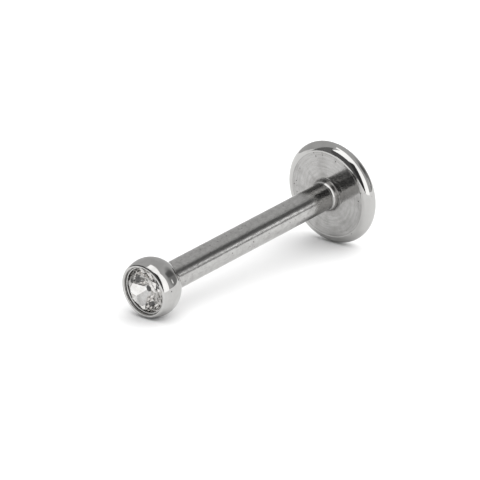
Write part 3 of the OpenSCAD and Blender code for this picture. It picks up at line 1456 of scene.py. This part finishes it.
@dataclass
class Studio:
    """The white floor, the soft light and cards round it, and the camera.

    Args:
        target: Point that the camera and the light face, in mm.
        view_azimuth: Direction of the camera, in degrees.
        view_elevation: Its height, in degrees.
        view_distance: Its distance from the target, in mm.
        lens: Focal length, in mm.
        sensor: Width of the sensor, in mm.
        wall: Brightness of the room, as a share of white.
        shade: Brightness of its darker side.
        shade_azimuth: Direction of the darker side, in degrees.
        shade_elevation: Its height, in degrees.
        shade_span: Cosines of the angles where the darker side starts and where it is full.
        floor_half: Half the width of the floor, in metres.
        floor_white: Colour of the floor.
        floor_grain: How much darker its grain is.
        floor_glow: Brightness of the floor's even glow.
        glow_share: Share of the glow in the floor that the metal shows.
        contacts: x, width and depth of the darker place under each contact, in mm.
        contact_shade: Share of the glow that is left there.
        boxes: The soft lights.
        cards: The cards.
    """

    target: tuple = (2.480, 2.306, 0.430)
    view_azimuth: float = 310.85
    view_elevation: float = 20.36
    view_distance: float = 186.7
    lens: float = 335.5
    sensor: float = 36.0
    wall: float = 0.57
    shade: float = 0.27
    shade_azimuth: float = 59.4
    shade_elevation: float = 22.1
    shade_span: tuple = (0.84, 0.97)
    floor_half: float = 3.0
    floor_white: float = 0.9
    floor_grain: float = 0.01
    floor_glow: float = 0.8
    glow_share: float = 0.45
    contacts: tuple = ((5.87, 1.5, 2.2), (-5.59, 1.5, 1.5))
    contact_shade: float = 0.1
    boxes: tuple = (SoftBox("overhead_box", 60, 59, 117, 1.45),)
    cards: tuple = (
        Card.standing("white_card", (*SWEEP_CORNER, 0, CARD_TOP), (7.0, -34.5, 0, CARD_TOP), WHITE,
                      fade=(0, 0.3, 0, 0)),
        *white_sweep("white", METAL_TURN, METAL_END, SeenBy.METAL),
        *dark_cards(),
        *white_sweep("stone", STONE_TURN, STONE_END, SeenBy.STONE),
        Card.standing("lip_card", (-9.6, 2.5, 0.2, 1.9), (-9.2, -2.5, 0.2, 1.9), 1.3,
                      seen_by=SeenBy.METAL, fade=(0.2, 0.2, 0, 0.3)),
        Card.in_sky("dark_band", ((30, 30), (84, 7), (84, 32), (30, 53)), 0.13,
                    fade=(0.25, 0.3, 0.3, 0.4)),
        Card.in_sky("far_window", ((40.5, 7), (48, 7), (48, 24), (40.5, 24)), 1.6,
                    fade=(0.4, 0.4, 0.2, 0.4)),
        Card.in_sky("lens_card", ((279, 0), (318, 0), (318, 53), (279, 53)), 0.05, seen_by=SeenBy.STONE),
    )

    def build(self) -> None:
        """Makes the floor, lights, cards, surroundings and camera."""
        target = Vector(self.target) * MM
        self._floor()
        for box in self.boxes:
            box.build(target)
        for card in self.cards:
            card.build()
        self._surroundings()
        self._camera(target)
        scene = bpy.context.scene
        scene.view_settings.view_transform = "Standard"
        scene.cycles.glossy_bounces = 10
        scene.cycles.sample_clamp_indirect = 6.0

    def _floor(self) -> None:
        """Makes the wide white floor, slightly uneven, with softer shadows where the metal shows it."""
        nodes = BlankMaterial("white_floor")
        place = nodes.add("ShaderNodeTexCoord").outputs["Object"]
        tone = nodes.span(nodes.noise(place, 40.0), NOISE_LOW, NOISE_HIGH,
                          self.floor_white - self.floor_grain, self.floor_white)
        colour = nodes.add("ShaderNodeCombineColor", {0: tone, 1: tone, 2: tone})
        shader = nodes.add("ShaderNodeBsdfPrincipled", {"Base Color": colour.outputs[0], "Roughness": 1.0,
                                                        "Specular IOR Level": 0.0})
        ray = nodes.add("ShaderNodeLightPath")
        share = nodes.math("MULTIPLY", ray.outputs["Is Glossy Ray"], self.glow_share)
        glow = nodes.add("ShaderNodeEmission", {"Strength": self._contact_glow(nodes, place)})
        material = nodes.shaded("ShaderNodeMixShader", {0: share, 1: shader.outputs[0], 2: glow.outputs[0]})
        half = self.floor_half
        mesh = bpy.data.meshes.new("floor")
        mesh.from_pydata([(-half, -half, 0), (half, -half, 0), (half, half, 0), (-half, half, 0)], [],
                         [(0, 1, 2, 3)])
        mesh.materials.append(material)
        floor = bpy.data.objects.new("floor", mesh)
        bpy.context.scene.collection.objects.link(floor)

    def _contact_glow(self, nodes: Nodes, place: bpy.types.NodeSocket) -> bpy.types.NodeSocket:
        """Strength of the floor's glow, which fades under the two places where the stud rests.

        glow = floor_glow product over contacts (x, width, depth) of
        span(length((X - x) / width, Y / depth)), with X and Y in mm.

        Args:
            nodes: The floor's nodes.
            place: Object coordinates of the floor.

        Returns:
            The strength.
        """
        strength = nodes.math("ADD", self.floor_glow, 0.0)
        for x, width, depth in self.contacts:
            scaled = nodes.add("ShaderNodeMapping", {"Vector": place, "Location": (-x / width, 0, 0),
                                                     "Scale": (1 / width / MM, 1 / depth / MM, 0)})
            away = nodes.vector("LENGTH", scaled.outputs[0])
            shade = nodes.span(away, 0.25, 1.0, self.contact_shade, 1.0, smooth=True)
            strength = nodes.math("MULTIPLY", strength, shade)
        return strength

    def _surroundings(self) -> None:
        """Makes the even grey room beyond the cards, darker on one side."""
        world = bpy.data.worlds.new("studio_room")
        bpy.context.scene.world = world
        world.use_nodes = True
        nodes = Nodes(world.node_tree)
        way = nodes.add("ShaderNodeTexCoord").outputs["Generated"]
        dark_side = sky_direction(self.shade_azimuth, self.shade_elevation)
        side = nodes.vector("DOT_PRODUCT", way, tuple(dark_side))
        tone = nodes.span(side, *self.shade_span, self.wall, self.shade, smooth=True)
        room = nodes.add("ShaderNodeBackground", {"Color": (1, 1, 1, 1), "Strength": tone})
        nodes.add("ShaderNodeOutputWorld", {"Surface": room.outputs[0]})

    def _camera(self, target: Vector) -> None:
        """Puts the camera where the photograph was taken from.

        Args:
            target: Point in the middle of the picture, in metres.
        """
        data = bpy.data.cameras.new("camera")
        data.lens, data.sensor_width, data.clip_start = self.lens, self.sensor, 0.01
        camera = bpy.data.objects.new("camera", data)
        back = sky_direction(self.view_azimuth, self.view_elevation)
        turn = back.to_track_quat("Z", "Y").to_matrix().to_4x4()
        camera.matrix_world = Matrix.Translation(target + self.view_distance * MM * back) @ turn
        bpy.context.scene.collection.objects.link(camera)
        bpy.context.scene.camera = camera


def write_sizes() -> None:
    """Updates the view layer."""
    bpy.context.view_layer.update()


def main() -> None:
    """Builds the stud's pieces and the studio."""
    logging.basicConfig(level=logging.INFO, format="%(name)s: %(message)s")
    axis = StudAxis.from_record(frame["record"])
    effects = SharedEffects(axis)
    for maker in (Post(), ScrewStem(), JewelCup(), Brilliant()):
        piece = maker.build(axis, effects)
        LOG.info("%s: %d faces", piece.name, len(piece.data.polygons))
    Studio().build()
    write_sizes()


if __name__ == "__main__":
    main()
